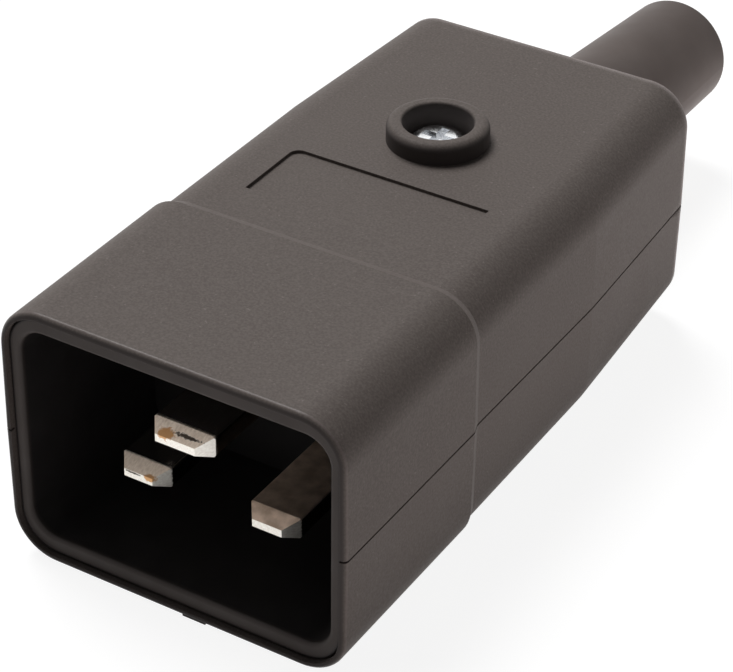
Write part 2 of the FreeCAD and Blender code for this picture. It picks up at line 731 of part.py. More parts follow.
def pin(label, kind, across, level):
    """Flat pin: bevelled tip, blade with eased edges, wider tail with the terminal's hole."""
    body = new_body(label)
    tip = section_at(body, "tip", f"{kind}_tip", across, level)
    root = section_at(body, "root", f"{kind}_tip + tip_length", across, level)
    rectangle(tip, f"{kind}_tip_width", "tip_thickness")
    loft(body, [tip, rectangle(root, f"{kind}_width", "pin_thickness")])
    blade = section_at(body, "blade", f"{kind}_tip + tip_length", across, level)
    pad(body, rectangle(blade, f"{kind}_width", "pin_thickness"), f"{kind}_blade", flip=True)

    def along_blade(edge):
        ends = [vertex.Point.y for vertex in edge.Vertexes]
        return max(ends) - min(ends) > number("tip_length") + ON_PLANE

    round_edges(body, "pin_edge_radius", along_blade)
    tail = section_at(body, "tail", "shoulder", across, level)
    pad(body, rectangle(tail, "tail_width", "pin_thickness"), "tail_reach", flip=True)
    hole = plan_at(body, "hole", f"{level} + pin_thickness", across, "terminal_depth")
    pocket(body, circle(hole, "terminal_hole"), "pin_clearance")
    return body


# Fasteners and the clamp

def turned_screw(label, place, head, shank, rounding):
    """Screw that hangs from its head: its place is the middle of the seat under the head."""
    body = new_body(label, *place)
    radius, height = head
    profile = new_sketch(body, "profile", "XZ_Plane", up=f"-({shank[1]})")
    stepped_profile(profile, [shank, head])
    revolve(body, profile)
    round_edges(body, rounding, lambda edge: ring_at(edge, number(height), number(radius)))
    return body


def housing_screw():
    """Cross-recess screw through both shells."""
    head, shank = ("screw_head_radius", "screw_head"), ("screw_radius", "screw_shank")
    place = ("0", "screw_depth", "head_seat")
    body = turned_screw("housing_screw", place, head, shank, "screw_head_round")
    for name, width, height in (("bar", "recess_span", "recess_width"),
                                ("beam", "recess_width", "recess_span")):
        slot = plan_at(body, name, "screw_head")
        pocket(body, rectangle(slot, width, height), "recess_depth")
    return body


def slotted_screws(label, places, head, shank, slot_length):
    """Group of equal screws with a driver slot, one for each place."""
    screws = []
    for index, place in enumerate(places, start=1):
        body = turned_screw(f"{label}_{index}", place, head, shank, "small_head_round")
        slot = plan_at(body, "slot", head[1])
        pocket(body, rectangle(slot, slot_length, "recess_width"), "recess_depth")
        screws.append(body)
    return group(label, screws)


def group(label, bodies):
    """One node for equal pieces that stay separate solids."""
    compound = doc.addObject("Part::Compound", label)
    compound.Label = label
    compound.Links = bodies
    return compound


def terminal_washers():
    washers = []
    for label, kind, across, level in PINS:
        body = new_body(f"{label}_washer", across, "terminal_depth", f"{level} + pin_thickness / 2")
        pad(body, rectangle(plan_at(body, "plate", "0"), "washer_size", "washer_size"), "washer_thickness")
        hole = plan_at(body, "hole", "washer_thickness")
        pocket(body, circle(hole, "terminal_hole"), "washer_thickness")
        washers.append(body)
    return group("terminal_washers", washers)


def terminal_screws():
    seat = "pin_thickness / 2 + washer_thickness"
    places = [(across, "terminal_depth", f"{level} + {seat}") for label, kind, across, level in PINS]
    return slotted_screws("terminal_screws", places, ("terminal_head_radius", "terminal_head"),
                          ("terminal_thread_radius", "terminal_shank"), "terminal_slot")


def housing_nut():
    body = new_body("housing_nut", "0", "screw_depth", "-nut_bottom")
    pad(body, hexagon(plan_at(body, "plan", "0"), "nut_flats"), "nut_thickness")
    hole = plan_at(body, "hole", "nut_thickness")
    pocket(body, circle(hole, "screw_hole"), "nut_thickness")
    return body


def cord_clamp():
    """Bridge over the cord: an arch with grip ribs between two ears on the clamp posts."""
    body = new_body("cord_clamp")
    ears = section_at(body, "ears", "clamp_start", up="clamp_seat + clamp_ear / 2")
    pad(body, rectangle(ears, "clamp_width", "clamp_ear"), "clamp_length", flip=True)
    crown = section_at(body, "crown", "clamp_start")
    pad(body, circle(crown, "clamp_crown"), "clamp_length", flip=True)
    below = section_at(body, "below", "clamp_start", up="clamp_seat - clamp_crown")
    pocket(body, rectangle(below, "clamp_width", "clamp_underside"), "clamp_length")
    arch = plan_at(body, "arch", "0", depth="clamp_start")
    stepped_profile(arch, [("clamp_arch", "grip_end"), ("grip_arch", "grip_rib"),
                           ("clamp_arch", "grip_spacing"), ("grip_arch", "grip_rib"),
                           ("clamp_arch", "grip_end")])
    revolve(body, arch, "PartDesign::Groove")
    for name, across in (("right", "post_place"), ("left", "-post_place")):
        hole = plan_at(body, f"hole_{name}", "clamp_top", across, "clamp_depth")
        pocket(body, circle(hole, "clamp_hole"), "clamp_ear")
    return body


def cord_clamp_screws():
    places = [(across, "clamp_depth", "clamp_top") for across in ("post_place", "-post_place")]
    return slotted_screws("cord_clamp_screws", places, ("clamp_head_radius", "clamp_head"),
                          ("clamp_screw_radius", "clamp_screw_length"), "clamp_slot")


# Bend relief sleeve

def tilted_section(body, name, depth, fall):
    """Sketch across the sagging part of the sleeve; its normal points back to the plug."""
    sketch = section_at(body, name, depth, up=f"-({fall})")
    tilt = Rotation(Vector(-1, 0, 0), number("sleeve_sag"))
    sketch.AttachmentOffset = Placement(Vector(), tilt)
    sketch.setExpression("AttachmentOffset.Rotation.Angle", bound("sleeve_sag"))
    return sketch


def sag_bend(body, name, radius, kind):
    """Short bend from the straight neck into the sagging part, added or cut."""
    sketch = section_at(body, name, "bend_start", up="-sag_radius")
    bend = revolve(body, raised_circle(sketch, radius, "sag_radius"), kind, "H_Axis", "sleeve_sag")
    bend.Reversed = True


def bend_relief_sleeve():
    """Flange and neck in the shells, a short sagging bend and a long taper, bored through."""
    body = new_body("bend_relief_sleeve")
    root = plan_at(body, "root", "0", depth="sleeve_start")
    stepped_profile(root, [("sleeve_flange_radius", "sleeve_flange"), ("sleeve_root", "sleeve_neck")])
    revolve(body, root)
    sag_bend(body, "bend", "sleeve_root", "PartDesign::Revolution")
    taper = tilted_section(body, "taper_root", "bend_end", "bend_fall")
    tip = tilted_section(body, "taper_tip", "tip_depth", "tip_fall")
    loft(body, [circle(taper, "sleeve_root"), circle(tip, "sleeve_tip")])

    def on_tip(edge):
        ring = edge.Curve
        at_tip = ring.TypeId == "Part::GeomCircle" and abs(ring.Center.y - number("tip_depth")) < ON_PLANE
        return at_tip and abs(ring.Radius - number("sleeve_tip")) < ON_PLANE

    round_edges(body, "sleeve_edge_radius", on_tip)
    straight = section_at(body, "straight_bore", "sleeve_start")
    pocket(body, circle(straight, "sleeve_bore"), "sleeve_inner_bore")
    sag_bend(body, "bend_bore", "sleeve_bore", "PartDesign::Groove")
    sagging = tilted_section(body, "sagging_bore", "bend_end", "bend_fall")
    pocket(body, circle(sagging, "sleeve_bore"), "sleeve_run")
    return body


def check_document():
    """Stop before anything is written if a feature failed or a cut removed nothing."""
    doc.recompute()
    for item in doc.Objects:
        if "Invalid" in item.State or "Error" in item.State:
            raise RuntimeError(f"{item.Label}: {item.State} {item.getStatusString()}")
        cuts = item.TypeId in ("PartDesign::Pocket", "PartDesign::Groove", "PartDesign::SubtractiveLoft")
        if cuts and item.Shape.Volume > item.BaseFeature.Shape.Volume - ON_PLANE:
            raise RuntimeError(f"{item.Label} cuts nothing")
        if item.TypeId == "PartDesign::Body" and len(item.Shape.Solids) != 1:
            raise RuntimeError(f"{item.Label} is not one solid")


def write_parts(nodes):
    """One STEP file for each node."""
    os.makedirs("parts", exist_ok=True)
    for node in nodes:
        if node.Shape.isNull() or not node.Shape.isValid():
            raise RuntimeError(f"{node.Label} has no valid shape")
        node.Shape.exportStep(f"parts/{node.Label}.step")
        print(node.Label, len(node.Shape.Solids), round(node.Shape.Volume, 1))


fill_sizes()
parts = [upper_shell(), lower_shell(), pin_carrier()]
parts += [pin(*row) for row in PINS]
parts += [terminal_washers(), terminal_screws(), housing_screw(), housing_nut()]
parts += [cord_clamp(), cord_clamp_screws(), bend_relief_sleeve()]
check_document()
write_parts(parts)
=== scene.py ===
import json
import math

import bpy
from mathutils import Matrix, Vector


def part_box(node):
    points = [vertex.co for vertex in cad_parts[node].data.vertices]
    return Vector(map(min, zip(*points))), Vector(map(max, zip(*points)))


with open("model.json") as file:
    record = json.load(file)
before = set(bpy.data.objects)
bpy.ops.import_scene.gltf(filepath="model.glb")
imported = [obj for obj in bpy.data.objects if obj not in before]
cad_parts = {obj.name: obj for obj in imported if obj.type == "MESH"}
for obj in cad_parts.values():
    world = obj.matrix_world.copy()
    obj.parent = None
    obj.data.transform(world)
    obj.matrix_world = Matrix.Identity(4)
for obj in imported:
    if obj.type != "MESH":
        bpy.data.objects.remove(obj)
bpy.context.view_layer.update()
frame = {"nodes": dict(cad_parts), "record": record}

MM = 0.001

# Noise values lie mostly within these: soft patches use nearly all of them, crisp ones the middle
SOFT = (0.30, 0.70)
CRISP = (0.35, 0.65)


# Factors that drop a vector's part along Z and along Y
FLAT = Vector((1.0, 1.0, 0.0))
UPRIGHT = Vector((1.0, 0.0, 1.0))


# Places in the frame

def middle_of(node):
    """Middle of a node's box."""
    lowest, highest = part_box(node)
    return (lowest + highest) / 2


def pin_tip(pin):
    """Middle of a pin's front end."""
    tip = middle_of(pin)
    tip.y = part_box(pin)[0].y
    return tip


# Node helpers

BEVEL_SAMPLES = 6

# Likeness of the rounded and the true normal on a flat face and on a sharp edge
FLAT_MATCH = 0.98
EDGE_MATCH = 0.80

# A spot's rim wanders by these factors, and it is full within this share of its reach
SPOT_WANDER = (0.7, 1.3)
SPOT_CORE = 0.7


class Shading:
    """A material and short ways to add nodes to it."""

    def __init__(self, name):
        self.material = bpy.data.materials.new(name)
        self.material.use_nodes = True
        self.tree = self.material.node_tree
        self.surface = self.tree.nodes["Principled BSDF"]

    def add(self, kind, values=None, **settings):
        """New node with its settings, and values or links for its input sockets."""
        node = self.tree.nodes.new(kind)
        for name, setting in settings.items():
            setattr(node, name, setting)
        for socket, value in (values or {}).items():
            self.feed(node.inputs[socket], value)
        return node

    def feed(self, socket, value):
        """Link a socket to another one, or set its value."""
        if isinstance(value, bpy.types.NodeSocket):
            self.tree.links.new(value, socket)
        else:
            socket.default_value = value

    def place(self, stretch=(1.0, 1.0, 1.0)):
        """Object coordinates, stretched for textures that run one way."""
        coordinates = self.add("ShaderNodeTexCoord").outputs["Object"]
        return self.add("ShaderNodeMapping", {"Vector": coordinates, "Scale": stretch}).outputs["Vector"]

    def facing(self):
        """The true normal of the surface."""
        return self.add("ShaderNodeNewGeometry").outputs["Normal"]

    def rounded(self, radius):
        """Normal that rounds sharp edges off by about this radius."""
        return self.add("ShaderNodeBevel", {"Radius": radius}, samples=BEVEL_SAMPLES).outputs["Normal"]

    def parts(self, vector):
        """The three numbers of a vector."""
        return self.add("ShaderNodeSeparateXYZ", {"Vector": vector}).outputs

    def number(self, operation, *operands):
        """Result of an operation on numbers."""
        node = self.add("ShaderNodeMath", dict(enumerate(operands)), operation=operation)
        return node.outputs["Value"]

    def vector(self, operation, *operands):
        """Result of an operation on vectors, which is a number for lengths and dot products."""
        node = self.add("ShaderNodeVectorMath", dict(enumerate(operands)), operation=operation)
        gives_number = operation in ("LENGTH", "DISTANCE", "DOT_PRODUCT")
        return node.outputs["Value" if gives_number else "Vector"]

    def times(self, first, second):
        return self.number("MULTIPLY", first, second)

    def larger(self, first, second):
        return self.number("MAXIMUM", first, second)

    def remap(self, value, low, high, to_low=0.0, to_high=1.0):
        """Value carried from one stretch of numbers to another, and held at its ends."""
        values = {"Value": value, "From Min": low, "From Max": high, "To Min": to_low, "To Max": to_high}
        return self.add("ShaderNodeMapRange", values).outputs["Result"]

    def noise(self, size, detail=2.0, place=None):
        """Noise whose grains are about this size, in metres."""
        values = {"Scale": 1.0 / size, "Detail": detail, "Vector": place or self.place()}
        return self.add("ShaderNodeTexNoise", values).outputs["Fac"]

    def mix(self, factor, first, second):
        """Blend of two colours, each a colour or a socket."""
        node = self.add("ShaderNodeMix", {"Factor": factor}, data_type="RGBA")
        colours = [socket for socket in node.inputs if socket.type == "RGBA"]
        for socket, value in zip(colours, (first, second)):
            self.feed(socket, (*value, 1.0) if isinstance(value, tuple) else value)
        return next(socket for socket in node.outputs if socket.type == "RGBA")

    def bump(self, height, depth, strength, normal=None):
        """Normal with a relief of this depth, laid over another normal if there is one."""
        values = {"Height": height, "Distance": depth, "Strength": strength}
        if normal is not None:
            values["Normal"] = normal
        return self.add("ShaderNodeBump", values).outputs["Normal"]

    def edge_mask(self, radius):
        """1 on sharp edges, which a finger or a tool would rub and which get a painted highlight, 0 on flat
        faces.
        """
        match = self.vector("DOT_PRODUCT", self.rounded(radius), self.facing())
        return self.remap(match, FLAT_MATCH, EDGE_MATCH)

    def spots(self, marks, ragged, stretch):
        """1 inside the marks on the pins, with ragged rims, and thinner where stretched."""
        position = self.place(stretch)
        wander = self.remap(ragged, *SOFT, *SPOT_WANDER)
        mask = 0.0
        for pin, offset, reach in marks:
            middle = (pin_tip(pin) + Vector(offset) * MM) * Vector(stretch)
            away = self.times(self.vector("DISTANCE", position, middle), wander)
            mask = self.larger(mask, self.remap(away, reach * MM, SPOT_CORE * reach * MM))
        return mask

    def finish(self, **sockets):
        """Feed the shader's sockets, named with _ for spaces, and return the material."""
        for name, value in sockets.items():
            self.feed(self.surface.inputs[name.replace("_", " ")], value)
        return self.material


# Housing

# Colours here and below are linear red, green and blue
HOUSING_DARK = (0.116, 0.097, 0.089)
HOUSING_LIGHT = (0.121, 0.102, 0.093)
HOUSING_GRAIN = (0.168, 0.145, 0.133)
# Pale specks; this colour also makes the pale sharp edges, partly wear and partly a painted highlight
HOUSING_SPECK_AND_EDGE_HIGHLIGHT = (0.24, 0.21, 0.195)
# Painted highlight on the rounded edges at the housing's rear and, fainter, at its front
PAINTED_END_HIGHLIGHT = (0.32, 0.27, 0.255)
# Painted shade for the flat front ring and the collar walls
PAINTED_SHADE_WALL = (0.070, 0.060, 0.057)

CLOUD_SIZE = 14 * MM
GRAIN_SIZE = 0.22 * MM
GRAIN_STRETCH = (0.35, 0.70)
GRAIN_SHARE = 0.75
GRAIN_DEPTH = 0.02 * MM
GRAIN_STRENGTH = 0.5
SPECK_SIZE = 0.30 * MM
SPECK_STRETCH = (0.71, 0.77)
SPECK_SHARE = 0.50
# Pale sharp edges: partly rubbing wear, partly a painted highlight
RUB_AND_HIGHLIGHT_WIDTH = 0.30 * MM
RUB_AND_HIGHLIGHT_PATCH = 1.5 * MM
RUB_AND_HIGHLIGHT_STRETCH = (0.40, 0.65)
RUB_AND_HIGHLIGHT_SHARE = 0.16
WAVE_SIZE = 1.1 * MM
WAVE_DEPTH = 0.02 * MM
WAVE_STRENGTH = 0.12
SHEEN_SIZE = 3 * MM
HOUSING_ROUGHNESS = (0.53, 0.57)
HOUSING_SPECULAR = 0.10

# Distances from the housing's front and rear at which their smooth edges and painted highlight, and the
# front ring's painted shade, begin and are full
FRONT_ZONE = (1.20 * MM, 0.60 * MM)
REAR_ZONE = (2.74 * MM, 1.24 * MM)

# Shares of the normal along Y: where an end's rounded edge begins and ends, where the painted highlight on
# the front edge stops, and where the painted shade on the flat front ring begins
EDGE_BEGINS = (0.12, 0.30)
EDGE_ENDS = (0.98, 0.90)
FRONT_HIGHLIGHT_STOPS = (0.70, 0.50)
RING_BEGINS = (0.75, 0.95)
FRONT_HIGHLIGHT_SHARE = 0.30
PLAIN_ROUNDING = 0.05 * MM
REAR_ROUNDING = 1.2 * MM
END_SMOOTHNESS = 0.45

# Share of the normal along Z and distance from the screw, at which the painted shade on the collar walls
# begins and is full
WALL_STEEPNESS = (0.85, 0.30)
COLLAR_REACH = (6.0 * MM, 5.8 * MM)


def grained_plastic(look, grain):
    """Colour of the flat faces: faint clouds, eroded grain, pale specks, pale edges partly rubbed and
    partly a painted highlight.
    """
    clouds = look.remap(look.noise(CLOUD_SIZE, detail=3.0), *CRISP)
    base = look.mix(clouds, HOUSING_DARK, HOUSING_LIGHT)
    base = look.mix(look.remap(grain, *GRAIN_STRETCH, 0.0, GRAIN_SHARE), base, HOUSING_GRAIN)
    specks = look.remap(look.noise(SPECK_SIZE, detail=1.0), *SPECK_STRETCH, 0.0, SPECK_SHARE)
    base = look.mix(specks, base, HOUSING_SPECK_AND_EDGE_HIGHLIGHT)
    # Pale sharp edges in patches: partly rubbing wear, partly a painted highlight
    patches = look.remap(look.noise(RUB_AND_HIGHLIGHT_PATCH), *RUB_AND_HIGHLIGHT_STRETCH, 0.0, RUB_AND_HIGHLIGHT_SHARE)
    return look.mix(look.times(look.edge_mask(RUB_AND_HIGHLIGHT_WIDTH), patches), base, HOUSING_SPECK_AND_EDGE_HIGHLIGHT)


def housing_ends(look):
    """Masks of the housing's front and rear."""
    lowest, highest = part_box("upper_shell")
    along = look.parts(look.place())["Y"]
    at_front = look.remap(along, *(lowest.y + distance for distance in FRONT_ZONE))
    at_rear = look.remap(along, *(highest.y - distance for distance in REAR_ZONE))
    return at_front, at_rear


def collar_walls(look):
    """Mask of the upright walls round the housing screw, where shade is painted."""
    aside = look.vector("SUBTRACT", look.place(), middle_of("housing_screw"))
    from_screw = look.vector("LENGTH", look.vector("MULTIPLY", aside, FLAT))
    level = look.number("ABSOLUTE", look.parts(look.facing())["Z"])
    return look.times(look.remap(level, *WALL_STEEPNESS), look.remap(from_screw, *COLLAR_REACH))


def moulded_housing():
    """Matte moulded, grained plastic; painted highlight on its smooth end edges, painted shade on front
    ring and collar walls.
    """
    look = Shading("moulded_housing")
    grain = look.noise(GRAIN_SIZE)
    at_front, at_rear = housing_ends(look)
    rounded = look.rounded(look.remap(at_rear, 0.0, 1.0, PLAIN_ROUNDING, REAR_ROUNDING))
    turned = look.number("ABSOLUTE", look.parts(rounded)["Y"])
    end_edge = look.times(look.remap(turned, *EDGE_BEGINS), look.remap(turned, *EDGE_ENDS))
    painted_front_highlight = look.times(look.remap(turned, *FRONT_HIGHLIGHT_STOPS), look.times(at_front, FRONT_HIGHLIGHT_SHARE))
    base = grained_plastic(look, grain)
    # Painted highlight along the rounded edges at the rear and, fainter, at the front
    base = look.mix(look.times(end_edge, look.larger(at_rear, painted_front_highlight)), base, PAINTED_END_HIGHLIGHT)
    # Painted shade on the flat front ring
    base = look.mix(look.times(at_front, look.remap(turned, *RING_BEGINS)), base, PAINTED_SHADE_WALL)
    # Painted shade on the collar walls round the screw
    base = look.mix(collar_walls(look), base, PAINTED_SHADE_WALL)
    normal = look.bump(grain, GRAIN_DEPTH, GRAIN_STRENGTH, rounded)
    normal = look.bump(look.noise(WAVE_SIZE), WAVE_DEPTH, WAVE_STRENGTH, normal)
    matte = look.remap(look.noise(SHEEN_SIZE), *SOFT, *HOUSING_ROUGHNESS)
    smooth_ends = look.times(end_edge, look.larger(at_rear, at_front))
    roughness = look.times(matte, look.remap(smooth_ends, 0.0, 1.0, 1.0, END_SMOOTHNESS))
    return look.finish(Base_Color=base, Roughness=roughness, Normal=normal,
                       Specular_IOR_Level=HOUSING_SPECULAR)


# Pin carrier

CARRIER_DARK = (0.071, 0.058, 0.053)
CARRIER_LIGHT = (0.088, 0.073, 0.067)
# Painted shade on the lip's outer edge and inside behind the lip
CARRIER_PAINTED_SHADE = (0.018, 0.016, 0.016)

CARRIER_PATCH = 6 * MM
PORE_SIZE = 0.2 * MM
PORE_DEPTH = 0.008 * MM
PORE_STRENGTH = 0.5
CARRIER_SHEEN_SIZE = 2 * MM
CARRIER_ROUGHNESS = (0.46, 0.56)
CARRIER_SPECULAR = 0.2

# The painted shade on the lip's outer edge: how much the edge is rounded, and how far outward it faces, as
# a length
LIP_ROUNDING = 0.35 * MM
LIP_OUTWARD = (0.5 * MM, 3 * MM)

# Distances behind the lip's front between which painted shade darkens the carrier inside
LIP_ZONE = (-0.10 * MM, 0.70 * MM)


def moulded_carrier():
    """Smoother, darker plastic of the insert, with painted shade on its lip's outer edge and inside behind
    the lip.
    """
    look = Shading("moulded_carrier")
    patches = look.remap(look.noise(CARRIER_PATCH), *CRISP)
    base = look.mix(patches, CARRIER_DARK, CARRIER_LIGHT)
    place = look.place()
    aside = look.vector("SUBTRACT", place, middle_of("pin_carrier"))
    outward = look.vector("MULTIPLY", aside, UPRIGHT)
    outer_edge = look.vector("DOT_PRODUCT", outward, look.rounded(LIP_ROUNDING))
    # Painted shade in the groove along the lip's outer edge
    base = look.mix(look.remap(outer_edge, *LIP_OUTWARD), base, CARRIER_PAINTED_SHADE)
    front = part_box("pin_carrier")[0].y
    behind_lip = look.remap(look.parts(place)["Y"], *(front + distance for distance in LIP_ZONE))
    # Painted shade inside, behind the lip
    base = look.mix(behind_lip, base, CARRIER_PAINTED_SHADE)
    normal = look.bump(look.noise(PORE_SIZE), PORE_DEPTH, PORE_STRENGTH)
    roughness = look.remap(look.noise(CARRIER_SHEEN_SIZE), *SOFT, *CARRIER_ROUGHNESS)
    return look.finish(Base_Color=base, Roughness=roughness, Normal=normal,
                       Specular_IOR_Level=CARRIER_SPECULAR)


# Bend relief sleeve

SLEEVE_DARK = (0.118, 0.096, 0.088)
SLEEVE_LIGHT = (0.132, 0.108, 0.099)

SLEEVE_PATCH = 5 * MM
RIPPLE_SIZE = 0.5 * MM
RIPPLE_DEPTH = 0.006 * MM
RIPPLE_STRENGTH = 0.5
SLEEVE_SHEEN_SIZE = 4 * MM
SLEEVE_ROUGHNESS = (0.40, 0.50)
SLEEVE_SPECULAR = 0.08


def soft_sleeve():
    """Smooth dark sleeve with a soft sheen."""
    look = Shading("soft_sleeve")
    patches = look.remap(look.noise(SLEEVE_PATCH, detail=3.0), *CRISP)
    base = look.mix(patches, SLEEVE_DARK, SLEEVE_LIGHT)
    normal = look.bump(look.noise(RIPPLE_SIZE), RIPPLE_DEPTH, RIPPLE_STRENGTH)
    roughness = look.remap(look.noise(SLEEVE_SHEEN_SIZE), *SOFT, *SLEEVE_ROUGHNESS)
    return look.finish(Base_Color=base, Roughness=roughness, Normal=normal,
                       Specular_IOR_Level=SLEEVE_SPECULAR)


# Pins

NICKEL_DARK = (0.80, 0.75, 0.68)
NICKEL_LIGHT = (0.98, 0.95, 0.88)
# Warmer, darker tint on the bevels of the tips that face up
UP_BEVEL_DARK = (0.80, 0.66, 0.54)
UP_BEVEL_LIGHT = (0.98, 0.86, 0.74)
# Brown, less metallic patch on the up-facing blade of the line pin
BROWN_BLADE_DARK = (0.54, 0.41, 0.32)
BROWN_BLADE_LIGHT = (0.82, 0.65, 0.53)
# Painted dark reflection on the pins' flanks
PAINTED_FLANK_REFLECTION = (0.14, 0.12, 0.105)
BRASS_WORN = (0.60, 0.34, 0.16)
SCUFFED = (0.05, 0.036, 0.027)

DRAWN_SIZE = 0.16 * MM
DRAWN_STRETCH = (1.0, 0.08, 1.0)
DRAWN_DEPTH = 0.004 * MM
DRAWN_STRENGTH = 0.25

# Share of a pin's length that its bevelled tip takes, and the normals that look up, and sideways where a
# dark reflection is painted
TIP_SHARE = (0.055, 0.045)
LOOKS_UP = (0.3, 0.8)
LOOKS_SIDEWAYS = (0.6, 0.9)

# Marks: the pin, the mark's middle across, back and up from the middle of the tip, and its reach, in
# millimetres. The stretch makes a mark thin, and the rim is the size of its frayed edge.
WORN_SPOTS = [("earth_pin", (-1.10, 0.273, 0.58), 0.92), ("neutral_pin", (1.15, 0.103, 0.26), 0.62)]
WORN_STRETCH = (1.0, 1.4, 1.7)
WORN_RIM = 0.4 * MM
SCUFFS = [("earth_pin", (0.75, 0.633, 0.73), 1.50), ("neutral_pin", (-0.50, 0.053, 0.24), 0.95)]
SCUFF_STRETCH = (1.0, 6.0, 7.5)
SCUFF_RIM = 0.25 * MM
SCUFF_SHARE = 0.95
DULL_BLADE = [("line_pin", (0.0, 5.553, 0.12), 9.0)]
DULL_STRETCH = (1.0, 1.0, 2.0)
DULL_RIM = 2 * MM
BLOTCH_SIZE = 1.4 * MM

# Roughness of the plate, what the tip, its bevel and the brown patch on the line pin's blade add, and the
# metal left in that patch
PLATE_ROUGHNESS = (0.12, 0.20)
TIP_ROUGHER = 0.18
BEVEL_ROUGHER = 0.26
DULL_ROUGHER = 0.3
DULL_METAL = 0.1


def plated_pins():
    """Satin nickel plate, warmer up-facing bevels, brass spots, scuffs, a dull brown patch on one blade,
    painted dark reflections on flanks.
    """
    look = Shading("plated_pins")
    drawn = look.noise(DRAWN_SIZE, detail=3.0, place=look.place(DRAWN_STRETCH))
    streaks = look.remap(drawn, *SOFT)
    facing = look.parts(look.facing())
    facing_up = look.remap(facing["Z"], *LOOKS_UP)
    length_share = look.parts(look.add("ShaderNodeTexCoord").outputs["Generated"])["Y"]
    tip = look.remap(length_share, *TIP_SHARE)
    behind_tip = look.remap(tip, 1.0, 0.0)
    bevel = look.times(tip, facing_up)
    base = look.mix(streaks, NICKEL_DARK, NICKEL_LIGHT)
    base = look.mix(bevel, base, look.mix(streaks, UP_BEVEL_DARK, UP_BEVEL_LIGHT))
    worn = look.spots(WORN_SPOTS, look.noise(WORN_RIM), WORN_STRETCH)
    base = look.mix(worn, base, BRASS_WORN)
    scuffs = look.spots(SCUFFS, look.noise(SCUFF_RIM), SCUFF_STRETCH)
    base = look.mix(look.times(scuffs, SCUFF_SHARE), base, SCUFFED)
    brown_blade = look.times(look.spots(DULL_BLADE, look.noise(DULL_RIM), DULL_STRETCH), facing_up)
    blotches = look.remap(look.noise(BLOTCH_SIZE, detail=3.0), *CRISP)
    base = look.mix(brown_blade, base, look.mix(blotches, BROWN_BLADE_DARK, BROWN_BLADE_LIGHT))
    # Painted dark reflection on the flanks behind the tip
    flank_reflection = look.remap(look.number("ABSOLUTE", facing["X"]), *LOOKS_SIDEWAYS)
    base = look.mix(look.times(flank_reflection, behind_tip), base, PAINTED_FLANK_REFLECTION)
    dull = look.times(brown_blade, behind_tip)
    roughness = look.remap(drawn, *SOFT, *PLATE_ROUGHNESS)
    for mask, rougher in ((tip, TIP_ROUGHER), (bevel, BEVEL_ROUGHER), (dull, DULL_ROUGHER)):
        roughness = look.number("MULTIPLY_ADD", mask, rougher, roughness)
    normal = look.bump(drawn, DRAWN_DEPTH, DRAWN_STRENGTH)
    metallic = look.remap(dull, 0.0, 1.0, 1.0, DULL_METAL)
    return look.finish(Base_Color=base, Metallic=metallic, Roughness=roughness, Normal=normal)


# Screws, washers and nut

ZINC_DARK = (0.80, 0.81, 0.83)
ZINC_LIGHT = (0.97, 0.98, 0.99)

ZINC_PATCH = 0.7 * MM
ZINC_PIT = 0.15 * MM
ZINC_DEPTH = 0.01 * MM
ZINC_STRENGTH = 0.4
ZINC_ROUGHNESS = (0.10, 0.20)


def zinc_steel():
    """Bright zinc plate on screws, washers and the nut."""
    look = Shading("zinc_steel")
    patches = look.noise(ZINC_PATCH, detail=3.0)
    base = look.mix(look.remap(patches, *CRISP), ZINC_DARK, ZINC_LIGHT)
    normal = look.bump(look.noise(ZINC_PIT), ZINC_DEPTH, ZINC_STRENGTH)
    roughness = look.remap(patches, *SOFT, *ZINC_ROUGHNESS)
    return look.finish(Base_Color=base, Metallic=1.0, Roughness=roughness, Normal=normal)


SLOT_MATERIALS = {
    "housing_plastic": moulded_housing(),
    "carrier_plastic": moulded_carrier(),
    "sleeve_rubber": soft_sleeve(),
    "pin_metal": plated_pins(),
    "plated_steel": zinc_steel(),
}


def dress_nodes():
    """Give every node of the frame the material of its slot in the record."""
    slot_of = {row["node"]: row["material_slot"] for row in frame["record"]["subparts"]}
    for name, node in frame["nodes"].items():
        material = SLOT_MATERIALS[slot_of[name]]
        for index in range(len(node.data.materials)):
            node.data.materials[index] = material


# Table and surroundings

FLOOR_SIZE = 4.0
FLOOR_DARK = (0.245, 0.245, 0.245)
FLOOR_LIGHT = (0.255, 0.255, 0.255)
FLOOR_PATCH = 30 * MM
FLOOR_ROUGHNESS = 0.9
WHITE = (1.0, 1.0, 1.0)
CAST_WARM = (1.0, 0.93, 0.91)
WORLD_LIGHT = 0.03

# Strength of the table's glow: as it is seen, and as it is cast at the ends of a slanted gradient
GLOW_SEEN = 0.89
GLOW_FRONT = 0.72
GLOW_BACK = 2.25
GLOW_REACH = 85 * MM
GLOW_SLANT = 0.5

# Share of that glow right beside the housing, far away and on the left, and where each share applies
GLOW_BESIDE = 0.1
BESIDE_REACH = 22 * MM
GLOW_FAR = 0.1
FAR_FADE = (40 * MM, 90 * MM)
GLOW_LEFT = 0.4
LEFT_REACH = 13 * MM


def seen_directly(tree):
    """1 for rays from the camera, mirrors and glass, 0 for the light that falls on the object."""
    path = tree.nodes.new("ShaderNodeLightPath")
    seen = path.outputs["Is Camera Ray"]
    for kind in ("Is Glossy Ray", "Is Transmission Ray"):
        either = tree.nodes.new("ShaderNodeMath")
        either.operation = "MAXIMUM"
        tree.links.new(seen, either.inputs[0])
        tree.links.new(path.outputs[kind], either.inputs[1])
        seen = either.outputs["Value"]
    return seen


